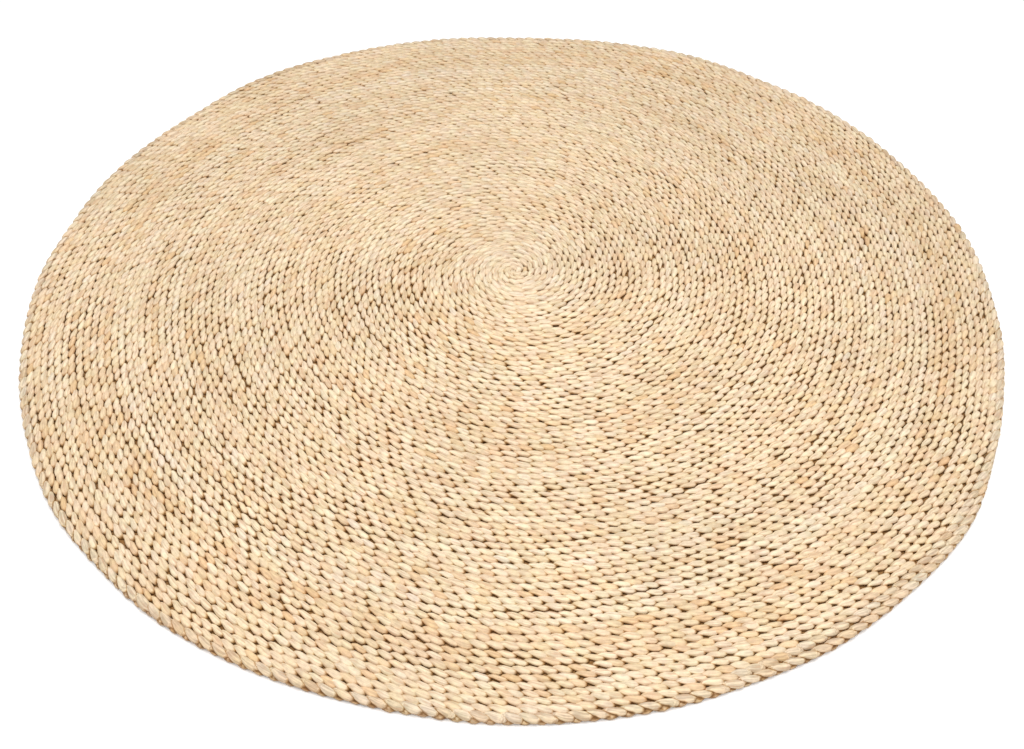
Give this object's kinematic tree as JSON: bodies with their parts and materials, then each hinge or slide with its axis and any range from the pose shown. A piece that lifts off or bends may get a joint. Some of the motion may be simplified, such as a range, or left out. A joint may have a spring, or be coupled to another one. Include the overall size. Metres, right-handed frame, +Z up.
{
  "type": "round straw rug",
  "caption": "Round flat rug made of one straw braid stood on edge and sewn in a spiral, with a slightly uneven outline.",
  "frame": {"origin": "middle of the rug's box on the floor, under the flat underside", "axes": "+Z up out of the ribbed top, -Y towards the front edge that faced the viewer, +X to the viewer's right"},
  "size_m": [1.998, 1.9764, 0.018],
  "materials": {
    "straw": "matt, slightly silky dried straw, cream to tan"
  },
  "bodies": {
    "root": {"braid_coil": "straw"}
  },
  "joints": []
}
